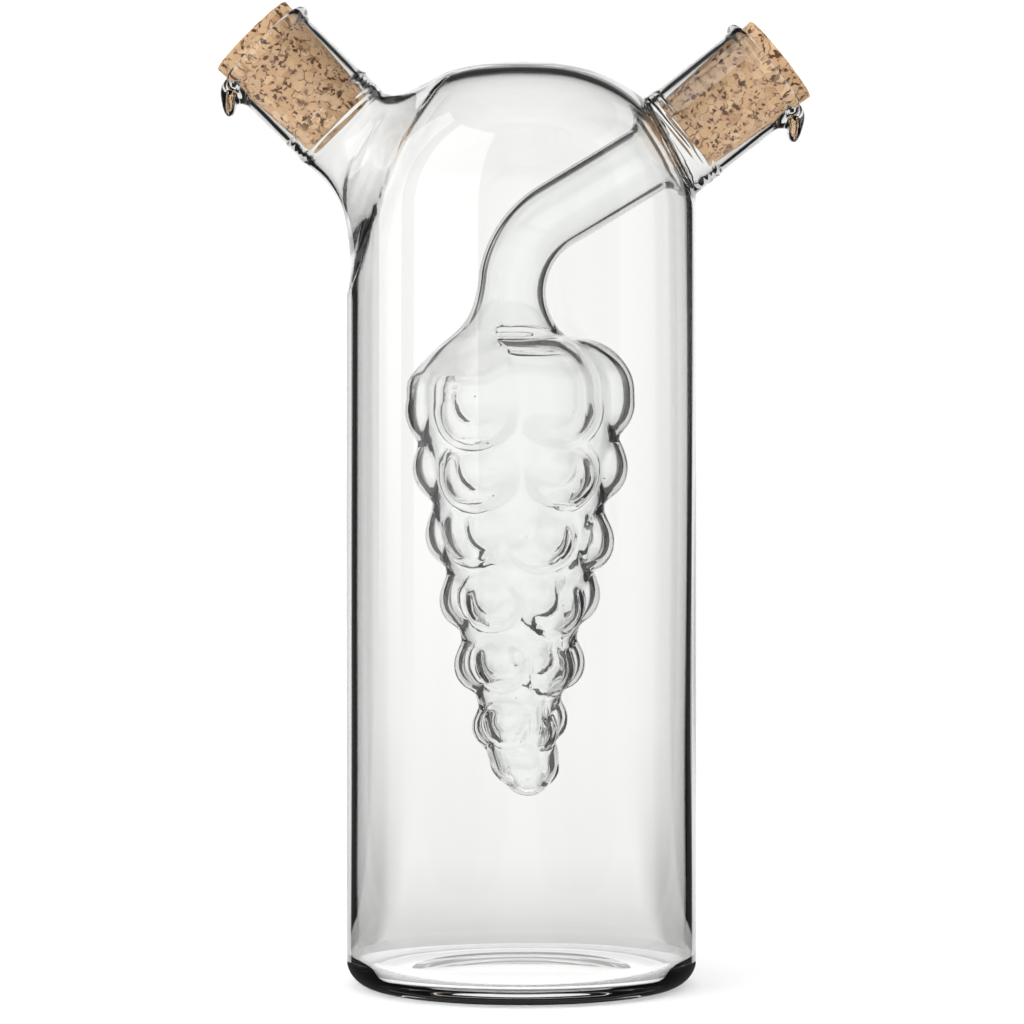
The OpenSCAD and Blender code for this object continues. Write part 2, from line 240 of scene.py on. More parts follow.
@dataclass(frozen=True)
class PressedCork:
    """Cork granules pressed and glued together, with dark bark and open pits; the pits carry painted
    shade.
    """

    name: str = "pressed_cork"
    granule: float = 620.0
    crumb: float = 1700.0
    grain: float = 2600.0
    patches: float = 330.0
    breaks: float = 950.0
    warp_scale: float = 900.0
    warp: float = 0.0012
    pit_painted_shade: float = 0.75
    relief_height: float = 0.00012
    pale: tuple[float, float, float] = (0.56, 0.375, 0.225)
    mid: tuple[float, float, float] = (0.50, 0.32, 0.18)
    deep: tuple[float, float, float] = (0.40, 0.235, 0.125)
    warm: tuple[float, float, float] = (0.53, 0.335, 0.18)
    light: tuple[float, float, float] = (0.64, 0.44, 0.27)
    bark: tuple[float, float, float] = (0.10, 0.045, 0.022)

    def make(self) -> bpy.types.Material:
        """Builds the material."""
        cork = Finish(self.name)
        flat = cork.place()
        warp = cork.noise(flat, self.warp_scale, 2.0, out="Color")
        bent = cork.node("ShaderNodeMix", {"data_type": "VECTOR"}, 1, _0=self.warp, _4=flat, _5=warp)
        cells = cork.node("ShaderNodeTexVoronoi", {"feature": "F1"}, "Color", Vector=bent,
                          Scale=self.granule, Randomness=1.0)
        split = cork.node("ShaderNodeSeparateColor", _0=cells)
        tone = cork.ramp(split, ((0.0, self.deep), (0.16, self.mid), (0.5, self.pale),
                                 (0.8, self.warm), (1.0, self.light)))
        shade = cork.noise(flat, self.grain, 4.0, 0.7)
        tone = cork.blend(shade.above(0.35, 0.7) * 0.35, tone, (*self.mid, 1.0))
        edge = cork.node("ShaderNodeTexVoronoi", {"feature": "DISTANCE_TO_EDGE"}, 0, Vector=bent,
                         Scale=self.granule, Randomness=1.0)
        crumbs = cork.node("ShaderNodeTexVoronoi", {"feature": "F1"}, "Color", Vector=bent,
                           Scale=self.crumb, Randomness=1.0)
        crumb = cork.node("ShaderNodeSeparateColor", out=1, _0=crumbs)
        seams = edge.above(0.10, 0.02)
        patch = cork.noise(flat, self.patches, 2.0)
        broken = cork.noise(flat, self.breaks, 2.0)
        dark_crumbs = crumb.above(0.82, 0.86) * patch.above(0.36, 0.5)
        in_seams = seams * broken.above(0.48, 0.60)
        dark = cork.node("ShaderNodeMath", {"operation": "MAXIMUM", "use_clamp": True},
                         _0=dark_crumbs, _1=in_seams * 0.8)
        colour = cork.blend(dark, tone, (*self.bark, 1.0))
        # The pits are darkened towards the bark colour as painted shade; the seams between granules are
        # darkened a little too.
        pits = cork.node("ShaderNodeAttribute", {"attribute_name": "pit"}, "Fac")
        colour = cork.blend(pits * self.pit_painted_shade, colour, (*self.bark, 1.0))
        relief = shade * 0.35 - dark * 1.2 - seams * 0.5
        normal = cork.node("ShaderNodeBump", Strength=0.8, Distance=self.relief_height, Height=relief)
        cork.set(Base__Color=colour, Roughness=0.86 - dark * 0.08, Normal=normal)
        cork.shader.inputs["Specular IOR Level"].default_value = 0.22
        return cork.material


@dataclass(frozen=True)
class PaleTable:
    """The plain pale surface that the cruet stands on."""

    name: str = "pale_table"
    colour: tuple[float, float, float] = (0.9, 0.9, 0.9)

    def make(self) -> bpy.types.Material:
        """Builds the material."""
        table = Finish(self.name)
        table.set(Base__Color=(*self.colour, 1.0), Roughness=0.9)
        table.shader.inputs["Specular IOR Level"].default_value = 0.0
        return table.material


@dataclass(frozen=True)
class LightTent:
    """A white ring with dark bands, which draws the outlines of clear glass.

    The bands lie where light that grazes the inner wall of the bottle comes from, by the
    angle in degrees at which that light leaves the side of the bottle. There is one at
    each side of every quarter of the ring. Those in front of the cruet are pale, so that
    they don't show as stripes through the glass from behind.
    """

    name: str = "light_tent"
    radius: float = 0.6
    edge_x: float = 0.030
    quarter: float = 45.0
    band_end: tuple[float, float] = (34.6, 36.0)
    low_part: tuple[float, float] = (0.05, 0.3)
    right_dark: float = 0.8
    front_share: float = 0.8
    front_light: float = 0.92
    turned_back: tuple[float, float] = (2.2, 2.8)
    turned_dark: float = 0.9
    middle_strip: tuple[float, float] = (0.8, 6.0)
    on_cork: float = 2.4
    bands: tuple[tuple[float, float], ...] = (
        (0.0, 1.0), (21.5, 0.98), (23.4, 0.6), (24.8, 0.03), (26.0, 0.002), (34.6, 0.002),
        (36.0, 0.2), (38.5, 0.42), (42.0, 0.7), (45.0, 0.8))
    middle: tuple[tuple[float, float], ...] = (
        (0.0, 0.66), (0.076, 0.74), (0.125, 0.87), (0.21, 0.96), (0.6, 1.0))
    sides: tuple[tuple[float, float], ...] = (
        (0.0, 0.38), (0.076, 0.44), (0.125, 0.58), (0.218, 0.72), (0.332, 0.84),
        (0.55, 0.93), (1.0, 0.96))
    upward: tuple[tuple[float, float], ...] = (
        (0.0, 1.0), (0.34, 1.0), (0.39, 0.8), (0.43, 0.2), (0.46, 0.03), (0.6, 0.03),
        (0.62, 0.12))

    def make(self) -> bpy.types.Material:
        """Builds the material."""
        tent = Finish(self.name)
        black = (0.0, 0.0, 0.0, 1.0)
        degrees = 180.0 / math.pi
        where = tent.node("ShaderNodeTexCoord", out="Object")
        x, y, z = (tent.node("ShaderNodeSeparateXYZ", out=axis, Vector=where) for axis in "XYZ")
        away = x.maths("SQRT", x * x + y * y)
        turn = x.maths("ARCTAN2", x, y) * degrees
        off = turn.maths("PINGPONG", turn, self.quarter) * (1.0 / degrees)
        aside = away.maths("MAXIMUM", away * off.maths("SINE", off) - self.edge_x, 0.0)
        lean = aside.maths("ARCTAN2", aside, away * off.maths("COSINE", off)) * degrees
        rise = z + (away - self.radius)
        light = self.grey(tent, lean * (1.0 / self.quarter),
                          [(angle / self.quarter, value) for angle, value in self.bands])
        behind = y.above(-0.01, 0.01)
        light = tent.blend((1.0 - behind) * self.front_share, light, (*(self.front_light,) * 3, 1.0))
        past = lean.above(*self.band_end) * behind
        light = tent.blend(past * (1.0 - rise.above(*self.low_part)), light, black)
        light = tent.blend(past * x.above(-0.05, 0.05) * self.right_dark, light, black)
        light = tent.blend(1.0, light, self.grey(tent, rise, self.upward), "MULTIPLY")
        level = rise + self.radius
        dim = tent.blend(lean.above(*self.middle_strip), self.grey(tent, level, self.middle),
                         self.grey(tent, level, self.sides))
        light = tent.blend(1.0, light, dim, "MULTIPLY")
        turned = tent.node("ShaderNodeLightPath", out="Glossy Depth")
        light = tent.blend(turned.above(*self.turned_back) * self.turned_dark, light, black)
        matt = tent.node("ShaderNodeLightPath", out="Diffuse Depth")
        light = tent.blend(matt.above(0.2, 0.8), light, (*(self.on_cork,) * 3, 1.0))
        tent.set(Base__Color=black, Roughness=1.0, Emission__Color=light, Emission__Strength=1.0)
        tent.shader.inputs["Specular IOR Level"].default_value = 0.0
        return tent.material

    @staticmethod
    def grey(tent: Finish, fac: Wire, stops: Sequence[tuple[float, float]]) -> Wire:
        """Ramp of greys that lean a little to green, as thick glass does."""
        return tent.ramp(fac, [(place, (v, v, v * 0.995)) for place, v in stops])


@dataclass(frozen=True)
class SoftBox:
    """The lit face of a soft box, seen only as a reflection."""

    name: str
    light: float
    floor: float = 0.0

    def make(self) -> bpy.types.Material:
        """Builds the material."""
        box = Finish(self.name)
        where = box.node("ShaderNodeTexCoord", out="Object")
        z = box.node("ShaderNodeSeparateXYZ", out="Z", Vector=where)
        fade = box.ramp(z * 2.0 + 0.5, [(0.44, (self.floor,) * 3), (0.75, (1.0,) * 3)], "EASE")
        box.set(Base__Color=(0.0, 0.0, 0.0, 1.0), Roughness=1.0, Emission__Color=fade,
                Emission__Strength=self.light)
        box.shader.inputs["Specular IOR Level"].default_value = 0.0
        return box.material


# Forms


def ease(share: np.ndarray) -> np.ndarray:
    """Soft step from 0 to 1."""
    share = np.clip(share, 0.0, 1.0)
    return share * share * (3.0 - 2.0 * share)


def ripple(turn: np.ndarray, along: np.ndarray, waves: Sequence[int], length: float,
           seed: int) -> np.ndarray:
    """Slow uneven waves round a ring and along it, between about -1 and 1.

    Args:
        turn: Angles round the ring, in radians.
        along: Places along the piece, in millimetres.
        waves: How many waves go round.
        length: Length of a wave along the piece.
        seed: Which set of waves.

    Returns:
        The height at each point.
    """
    rng = np.random.default_rng(seed)
    total = np.zeros(np.broadcast(turn, along).shape)
    for count in waves:
        phase, drift, size = rng.uniform(0, 2 * np.pi), rng.uniform(-1, 1), rng.uniform(0.6, 1.0)
        total = total + size * np.sin(count * turn + phase + drift * 2 * np.pi * along / length)
        total = total + 0.5 * size * np.sin(2 * np.pi * along / length * (1 + abs(drift)) + phase * 1.7)
    return total / (1.2 * len(waves))


@dataclass
class Skin:
    """One closed surface, in millimetres."""

    points: np.ndarray
    faces: list[tuple[int, ...]]

    @classmethod
    def loft(cls, rings: np.ndarray, first: Optional[np.ndarray] = None,
             last: Optional[np.ndarray] = None) -> "Skin":
        """Closes a row of rings into a surface.

        Args:
            rings: Points, as rings by points by 3.
            first: The point that closes the first ring. Without it, and without last, the
                last ring runs on into the first.
            last: The point that closes the last ring.

        Returns:
            The surface, with its faces outwards.
        """
        count, around, _ = rings.shape
        points = rings.reshape(-1, 3)
        spans = count if first is None else count - 1
        index = np.arange(count * around).reshape(count, around)
        after = np.roll(index, -1, axis=1)
        upper = np.roll(index, -1, axis=0)
        faces = [tuple(face) for face in np.stack(
            [index[:spans], after[:spans], np.roll(upper, -1, axis=1)[:spans], upper[:spans]],
            axis=-1).reshape(-1, 4).tolist()]
        if first is not None:
            points = np.vstack([points, first, last])
            tip = count * around
            faces += [(b, a, tip) for a, b in zip(index[0].tolist(), after[0].tolist())]
            faces += [(a, b, tip + 1) for a, b in zip(index[-1].tolist(), after[-1].tolist())]
        skin = cls(points, faces)
        if skin.volume() < 0:
            skin.faces = [tuple(reversed(face)) for face in faces]
        return skin

    def volume(self) -> float:
        """Volume inside, negative where the faces point inwards."""
        total = 0.0
        for size in (3, 4):
            group = np.array([face for face in self.faces if len(face) == size])
            for step in range(1, size - 1):
                if len(group):
                    a, b, c = (self.points[group[:, k]] for k in (0, step, step + 1))
                    total += float(np.einsum("ij,ij->i", a, np.cross(b, c)).sum()) / 6.0
        return total

    def piece(self, name: str) -> bpy.types.Object:
        """An object in metres, at the origin."""
        mesh = bpy.data.meshes.new(name)
        mesh.from_pydata((self.points * MM).tolist(), [], self.faces)
        mesh.update()
        thing = bpy.data.objects.new(name, mesh)
        bpy.context.scene.collection.objects.link(thing)
        return thing


class Fuse(Enum):
    """How two solids meet."""

    JOIN = "UNION"
    CUT = "DIFFERENCE"


def fuse(body: bpy.types.Object, other: bpy.types.Object, way: Fuse) -> None:
    """Joins another solid to a body or cuts it out, and removes the other."""
    step = body.modifiers.new("fuse", "BOOLEAN")
    step.operation = way.value
    step.solver = "MANIFOLD"
    step.object = other
    seen = bpy.context.evaluated_depsgraph_get()
    result = bpy.data.meshes.new_from_object(body.evaluated_get(seen), depsgraph=seen)
    body.modifiers.clear()
    old = body.data
    body.data = result
    bpy.data.meshes.remove(old)
    bpy.data.meshes.remove(other.data)


def melt(body: bpy.types.Object, crease: float, reach: float, rounds: int,
         share: Callable[[np.ndarray], np.ndarray]) -> None:
    """Melts the creases of a fused solid into soft fillets.

    Args:
        body: The solid.
        crease: Turn between two faces from which their edge melts, in degrees.
        reach: How far from such an edge the glass moves, in millimetres.
        rounds: How often the glass is evened out.
        share: How free the glass is to move at each point, from 0 to 1.
    """
    soft = bmesh.new()
    soft.from_mesh(body.data)
    bmesh.ops.remove_doubles(soft, verts=soft.verts, dist=0.03 * MM)
    bmesh.ops.dissolve_degenerate(soft, dist=0.01 * MM, edges=soft.edges)
    bmesh.ops.triangulate(soft, faces=soft.faces)
    soft.verts.ensure_lookup_table()
    soft.verts.index_update()
    points = np.array([v.co for v in soft.verts])
    free = share(points / MM)
    limit = math.radians(crease)
    seeds = {v.index for e in soft.edges if len(e.link_faces) == 2 and e.calc_face_angle(0.0) > limit
             for v in e.verts if free[v.index] > 0.5}
    if seeds:
        tree = kdtree.KDTree(len(seeds))
        for index in seeds:
            tree.insert(soft.verts[index].co, index)
        tree.balance()
        far = np.array([tree.find(v.co)[2] for v in soft.verts]) / (reach * MM)
        weight = (np.clip(1.6 * (1.0 - far), 0.0, 1.0) * free)[:, None]
        ends = np.array([[v.index for v in e.verts] for e in soft.edges])
        count = np.bincount(ends.ravel(), minlength=len(points))[:, None]
        for _ in range(rounds):
            total = np.zeros_like(points)
            np.add.at(total, ends[:, 0], points[ends[:, 1]])
            np.add.at(total, ends[:, 1], points[ends[:, 0]])
            points += 0.5 * weight * (total / count - points)
        for v, co in zip(soft.verts, points.tolist()):
            v.co = co
    soft.to_mesh(body.data)
    soft.free()
    body.data.update()


# Places


@dataclass(frozen=True)
class Neck:
    """Place of one neck: its rim, its slope, and the side that it leans to."""

    side: int
    slope: float
    out: float
    drop: float
    weld_at: float
    blend_r: float

    def axis(self) -> np.ndarray:
        """Direction in from the mouth."""
        slope = math.radians(self.slope)
        return np.array([-self.side * math.cos(slope), 0.0, -math.sin(slope)])

    def low(self) -> np.ndarray:
        """Direction to the low side of the rim."""
        slope = math.radians(self.slope)
        return np.array([self.side * math.sin(slope), 0.0, -math.cos(slope)])


@dataclass
class Route:
    """A middle line in the upright plane of the necks, from a mouth inwards."""

    points: np.ndarray
    sides: np.ndarray
    runs: np.ndarray

    @classmethod
    def through(cls, start: np.ndarray, heading: float, legs: Sequence[tuple[float, float]],
                step: float = 0.25) -> "Route":
        """Draws the line leg by leg.

        Args:
            start: Where it starts, in millimetres.
            heading: Direction of its start in the XZ plane, in degrees from +X to +Z.
            legs: Length and radius of each leg: 0 for a straight one, and a radius below
                0 for a turn to the right.
            step: Distance between the points.

        Returns:
            The line.
        """
        points, headings, runs = [np.array([start[0], start[2]])], [math.radians(heading)], [0.0]
        for length, radius in legs:
            count = max(1, math.ceil(length / step))
            for _ in range(count):
                bit = length / count
                turn = bit / radius if radius else 0.0
                middle = headings[-1] + turn / 2
                points.append(points[-1] + bit * np.array([math.cos(middle), math.sin(middle)]))
                headings.append(headings[-1] + turn)
                runs.append(runs[-1] + bit)
        flat, head = np.array(points), np.array(headings)
        zero = np.zeros(len(flat))
        return cls(np.stack([flat[:, 0], zero, flat[:, 1]], 1),
                   np.stack([-np.sin(head), zero, np.cos(head)], 1), np.array(runs))

    def at(self, run: np.ndarray) -> tuple[np.ndarray, np.ndarray]:
        """Points and side directions at some lengths along the line."""
        where = np.stack([np.interp(run, self.runs, self.points[:, k]) for k in range(3)], -1)
        side = np.stack([np.interp(run, self.runs, self.sides[:, k]) for k in range(3)], -1)
        return where, side / np.linalg.norm(side, axis=-1, keepdims=True)

    def rings(self, run: np.ndarray, radius: np.ndarray, around: int, turned: int = 1) -> np.ndarray:
        """Rings round the line.

        Args:
            run: Lengths along the line.
            radius: Radii, as rings or as rings by points.
            around: Points in a ring.
            turned: 1 where the side direction is the low side, and -1 where it isn't.

        Returns:
            The points, as rings by points by 3.
        """
        where, side = self.at(run)
        turn = 2 * np.pi * np.arange(around) / around
        radius = np.broadcast_to(radius if radius.ndim == 2 else radius[:, None], (len(run), around))
        across = turned * side[:, None, :] * np.cos(turn)[None, :, None]
        across = across + np.array([0.0, 1.0, 0.0]) * np.sin(turn)[None, :, None]
        return where[:, None, :] + radius[:, :, None] * across


# Glass


@dataclass
class Rim:
    """The end of a neck: a melted bead with a hooked drip lip on its low side."""

    lip_turn: float = 27.0
    bead: Sequence[tuple[float, float]] = (
        (9.60, 12.0), (9.60, 9.6), (9.60, 7.4), (9.60, 5.4), (9.60, 3.7), (9.70, 2.6),
        (10.20, 2.25), (10.52, 1.75), (10.60, 1.25), (10.45, 0.70), (10.10, 0.28),
        (9.70, 0.06), (9.30, 0.0), (9.02, 0.12), (8.84, 0.45), (8.68, 1.4), (8.60, 2.6),
        (8.50, 4.0), (8.42, 5.6), (8.40, 8.5), (8.40, 12.0))
    lip: Sequence[tuple[float, float]] = (
        (9.60, 12.0), (9.60, 9.6), (9.60, 7.6), (9.75, 6.2), (10.35, 5.25), (11.05, 4.8),
        (11.7, 5.15), (12.35, 5.62), (13.1, 5.62), (13.75, 5.05), (13.45, 3.9),
        (12.65, 2.65), (11.7, 1.4), (10.6, 0.5), (9.75, 0.55), (9.20, 1.5), (8.86, 2.9),
        (8.62, 4.4), (8.46, 6.2), (8.40, 8.7), (8.40, 12.0))

    @staticmethod
    def spline(corners: Sequence[tuple[float, float]], shares: np.ndarray) -> np.ndarray:
        """Smooth curve through the corners, at shares of the way along their list."""
        flat = np.array(corners)
        padded = np.vstack([2 * flat[0] - flat[1], flat, 2 * flat[-1] - flat[-2]])
        place = shares * (len(flat) - 1)
        index = np.minimum(place.astype(int), len(flat) - 2)
        t = (place - index)[:, None]
        a, b, c, d = (padded[index + k] for k in range(4))
        return 0.5 * (2 * b + (c - a) * t + (2 * a - 5 * b + 4 * c - d) * t ** 2
                      + (3 * b - a - 3 * c + d) * t ** 3)

    def rings(self, neck: Neck, mouth: np.ndarray, around: int, steps: int = 62) -> np.ndarray:
        """Rings from the outside of the neck over the rim into its bore."""
        share = np.linspace(0.0, 1.0, steps)
        plain, hooked = self.spline(self.bead, share), self.spline(self.lip, share)
        turn = 2 * np.pi * np.arange(around) / around
        off = np.degrees(np.minimum(turn, 2 * np.pi - turn))
        pull = np.exp(-np.power(off / self.lip_turn, 4.0))[None, :, None]
        shape = plain[:, None, :] * (1 - pull) + hooked[:, None, :] * pull
        shape[..., 0] += 0.04 * ripple(turn, shape[..., 1], (2, 3, 5), 40.0, 5) * (shape[..., 0] > 9.4)
        across = neck.low()[None, None, :] * np.cos(turn)[None, :, None]
        across = across + np.array([0.0, 1.0, 0.0]) * np.sin(turn)[None, :, None]
        return mouth + neck.axis() * shape[..., 1:2] + across * shape[..., 0:1]


@dataclass(frozen=True)
class BerryRow:
    """One row of berries: its depth, the turn of its first berry, their number and radius."""

    depth: float
    turn: float
    count: int
    radius: float


@dataclass
class GrapeBunch:
    """The hollow bunch of grapes, measured down from the weld on the stem.

    Its length and its outer radius are those of the solid. The rows get smaller towards
    the tip, the berries sit as unevenly as the mould made them, and the inside of the
    wall follows the outside, a little softer.
    """

    length: float = 83.7
    radius: float = 21.3
    shoulder: float = 11.5
    squareness: float = 2.7
    taper: float = 0.58
    fullness: float = 1.35
    last_row: float = 12.2
    valley: float = 2.9
    tip_depth: float = 6.0
    tip_aside: float = 1.6
    row_aside: float = 1.3
    slump: float = 0.07
    weld_r: float = 9.5
    wall: float = 1.2
    seam_turn: float = 38.0
    seam_high: float = 0.16
    seam_wide: float = 0.35
    seed: int = 12
    rows: Sequence[BerryRow] = (
        BerryRow(11.8, 28.0, 6, 7.5), BerryRow(23.6, 27.0, 6, 7.0), BerryRow(35.6, 17.0, 6, 6.5),
        BerryRow(47.4, 36.0, 6, 5.9), BerryRow(59.0, 40.0, 6, 5.3), BerryRow(70.4, 34.0, 6, 4.8),
        BerryRow(77.6, 64.0, 3, 4.6))

    def row_share(self, depth: np.ndarray) -> np.ndarray:
        """Share of the way from the top row to the last one."""
        whole = self.length - self.shoulder - self.last_row
        return np.clip((depth - self.shoulder) / whole, 0.0, 1.15)

    def envelope(self, depth: np.ndarray) -> np.ndarray:
        """Radius over the berries."""
        return self.radius * (1 - self.taper * self.row_share(depth) ** self.fullness)

    def berries(self) -> np.ndarray:
        """Turn in degrees, depth, distance from the axis and radius of every berry."""
        rng = np.random.default_rng(self.seed)
        found = []
        for row in self.rows:
            for number in range(row.count):
                size = row.radius * rng.uniform(0.92, 1.06)
                depth = row.depth + rng.uniform(-1.1, 1.1)
                out = float(self.envelope(np.array(depth))) - size + rng.uniform(-0.7, 0.0)
                turn = row.turn + 360.0 * number / row.count + rng.uniform(-4.0, 4.0)
                found.append((turn, depth, out, size))
        return np.array(found)

    def skin(self, angle: np.ndarray, depth: np.ndarray, valley: float, power: float,
             shrink: float = 0.0) -> np.ndarray:
        """Radius of the skin.

        Args:
            angle: Turn from the front towards +X, in degrees.
            depth: Depth below the weld.
            valley: Depth of the hollows between the berries.
            power: How sharply the berries run into each other.
            shrink: How much smaller the berries are, for the inside of the wall.

        Returns:
            The radii.
        """
        hollow = valley * (1.0 - 0.6 * ease((depth - self.length + 13.0) / 6.0))
        total = (self.envelope(depth) - shrink - hollow) ** power
        for turn, middle, out, size in self.berries():
            off = np.radians(angle - turn)
            across, down = out * np.sin(off), depth - middle
            inside = (size - shrink) ** 2 - down ** 2 - across ** 2
            reach = np.where((inside > 0) & (np.cos(off) > 0),
                             out * np.cos(off) + np.sqrt(np.maximum(inside, 0.0)), 0.0)
            total = total + (reach * (1.0 + self.slump * (0.8 * across + 0.6 * down) / size)) ** power
        return np.minimum(total ** (1 / power), self.envelope(depth) + 0.5 - shrink)

    def profile(self, steps: int) -> tuple[np.ndarray, np.ndarray, np.ndarray]:
        """Depths, spread shares and closing shares of the rings from weld to tip."""
        top = np.radians(np.linspace(5.0, 90.0, steps // 7))
        side_l = self.length - self.shoulder - self.tip_depth
        side = self.shoulder + side_l * np.linspace(0.0, 1.0, steps - 2 * (steps // 7))[1:]
        tip = np.radians(np.linspace(0.0, 86.0, steps // 7))[1:]
        square = 2.0 / self.squareness
        depth = np.concatenate([self.shoulder * (1 - np.cos(top) ** square), side,
                                self.length - self.tip_depth * (1 - np.sin(tip))])
        spread = np.concatenate([np.sin(top) ** square, np.ones(len(side) + len(tip))])
        close = np.concatenate([np.ones(len(top) + len(side)), np.cos(tip)])
        return depth, spread, close

    def rings(self, at: np.ndarray, around: int, steps: int, inside: bool) -> np.ndarray:
        """Rings of the outer skin, or of the inner one, from the weld down to the tip.

        Args:
            at: Middle of the weld.
            around: Points in a ring; the first lies towards +X.
            steps: Number of rings.
            inside: Whether the inner skin is wanted.

        Returns:
            The points, as rings by points by 3.
        """
        depth, spread, close = self.profile(steps)
        angle = 90.0 + 360.0 * np.arange(around) / around
        wide = np.maximum(depth, self.shoulder)
        grid_a, grid_d = np.meshgrid(angle, wide)
        turn = np.radians(grid_a)
        if inside:
            skin = self.skin(grid_a, grid_d, self.valley * 0.8, 14.0, self.wall + 0.5)
            skin = skin + 0.10 * ripple(turn, grid_d, (2, 3, 5), 31.0, 3)
            skin = skin + 0.05 * ripple(turn, grid_d, (7, 9, 13), 9.5, 4)
        else:
            skin = self.skin(grid_a, grid_d, self.valley, 18.0)
            seam = np.radians(grid_a - self.seam_turn) * skin
            seam = seam + 0.9 * np.sin(grid_d / 5.2) + 0.5 * np.sin(grid_d / 2.3)
            seam = (seam + np.pi * skin) % (2 * np.pi * skin) - np.pi * skin
            skin = skin + self.seam_high * np.exp(-(seam / self.seam_wide) ** 2)
            skin = skin + 0.02 * ripple(turn, grid_d, (9, 13, 17), 7.0, 6)
        weld = self.weld_r - (self.wall if inside else 0.0)
        radius = (weld + (skin - weld) * spread[:, None]) * close[:, None]
        sink = 0.0
        if inside:
            lean = np.where(spread < 1, np.sqrt(np.maximum(0, 1 - spread ** 2)),
                            -np.sqrt(np.maximum(0, 1 - close ** 2)))
            sink = (self.wall * lean)[:, None]
        drop = np.broadcast_to(depth[:, None] + sink, radius.shape)
        aside = self.aside(depth)[:, None]
        return at + np.stack([radius * np.sin(turn) + aside, -radius * np.cos(turn), -drop], -1)

    def aside(self, depth: np.ndarray) -> np.ndarray:
        """How far the berries and the tip sit towards +X of the stem."""
        from_tip = depth - self.length + 14.0
        return self.row_aside * ease(depth / 9.0) + self.tip_aside * ease(from_tip / 14.0)


@dataclass(frozen=True)
class AirSeeds:
    """Tiny air bubbles in the wall of the bunch, scattered with geometry nodes.

    Sizes are radii in millimetres, and the density is in bubbles to a square metre.
    """

    density: float = 4200.0
    smallest: float = 0.07
    largest: float = 0.2
    seed: int = 5
    name: str = "air_seeds"

    def tree(self) -> tuple[bpy.types.NodeTree, dict[str, str]]:
        """Builds the node tree.

        Returns:
            The tree, and the identifier of each input by its name.
        """
        tree = bpy.data.node_groups.new(self.name, "GeometryNodeTree")
        kinds = {"Wall": "Geometry", "Density": "Float", "Smallest": "Float", "Largest": "Float",
                 "Seed": "Int", "Finish": "Material"}
        inputs = {}
        for name, kind in kinds.items():
            socket = tree.interface.new_socket(name, in_out="INPUT", socket_type=f"NodeSocket{kind}")
            inputs[name] = socket.identifier
        tree.interface.new_socket("Seeds", in_out="OUTPUT", socket_type="NodeSocketGeometry")
        given = tree.nodes.new("NodeGroupInput").outputs
        points = tree.nodes.new("GeometryNodeDistributePointsOnFaces")
        ball = tree.nodes.new("GeometryNodeMeshIcoSphere")
        ball.inputs["Radius"].default_value = 1.0
        ball.inputs["Subdivisions"].default_value = 2
        size = tree.nodes.new("FunctionNodeRandomValue")
        placed = tree.nodes.new("GeometryNodeInstanceOnPoints")
        real = tree.nodes.new("GeometryNodeRealizeInstances")
        turned = tree.nodes.new("GeometryNodeFlipFaces")
        finished = tree.nodes.new("GeometryNodeSetMaterial")
        result = tree.nodes.new("NodeGroupOutput").inputs
        for start, end in (
                (given["Wall"], points.inputs["Mesh"]),
                (given["Density"], points.inputs["Density"]),
                (given["Seed"], points.inputs["Seed"]),
                (given["Smallest"], size.inputs[2]),
                (given["Largest"], size.inputs[3]),
                (given["Seed"], size.inputs["Seed"]),
                (points.outputs["Points"], placed.inputs["Points"]),
                (ball.outputs["Mesh"], placed.inputs["Instance"]),
                (size.outputs[1], placed.inputs["Scale"]),
                (placed.outputs["Instances"], real.inputs["Geometry"]),
                (real.outputs["Geometry"], turned.inputs["Mesh"]),
                (turned.outputs["Mesh"], finished.inputs["Geometry"]),
                (given["Finish"], finished.inputs["Material"]),
                (finished.outputs["Geometry"], result["Seeds"])):
            tree.links.new(start, end)
        return tree, inputs

    def blow_into(self, glass: bpy.types.Object, middle: np.ndarray, finish: bpy.types.Material) -> None:
        """Adds the bubbles to the glass.

        Args:
            glass: The finished glass.
            middle: Rings of points in the thick of its wall, in millimetres.
            finish: Its material.
        """
        rows, around = middle.shape[:2]
        starts = [row * around for row in range(rows - 1)]
        faces = [(start + k, start + (k + 1) % around, start + around + (k + 1) % around,
                  start + around + k) for start in starts for k in range(around)]
        wall = bpy.data.meshes.new(self.name)
        wall.from_pydata((middle.reshape(-1, 3) * MM).tolist(), [], faces)
        helper = bpy.data.objects.new(self.name, wall)
        bpy.context.scene.collection.objects.link(helper)
        tree, inputs = self.tree()
        scatter = helper.modifiers.new(self.name, "NODES")
        scatter.node_group = tree
        for name, value in (("Density", self.density), ("Smallest", self.smallest * MM),
                            ("Largest", self.largest * MM), ("Seed", self.seed), ("Finish", finish)):
            scatter[inputs[name]] = value
        seen = helper.evaluated_get(bpy.context.evaluated_depsgraph_get())
        seeds = bpy.data.meshes.new_from_object(seen)
        LOG.info("%s: %d faces", self.name, len(seeds.polygons))
        helper.modifiers.clear()
        whole = bmesh.new()
        whole.from_mesh(glass.data)
        whole.from_mesh(seeds)
        whole.to_mesh(glass.data)
        whole.free()
        bpy.data.objects.remove(helper)
        bpy.data.meshes.remove(wall)
        bpy.data.meshes.remove(seeds)
        bpy.data.node_groups.remove(tree)


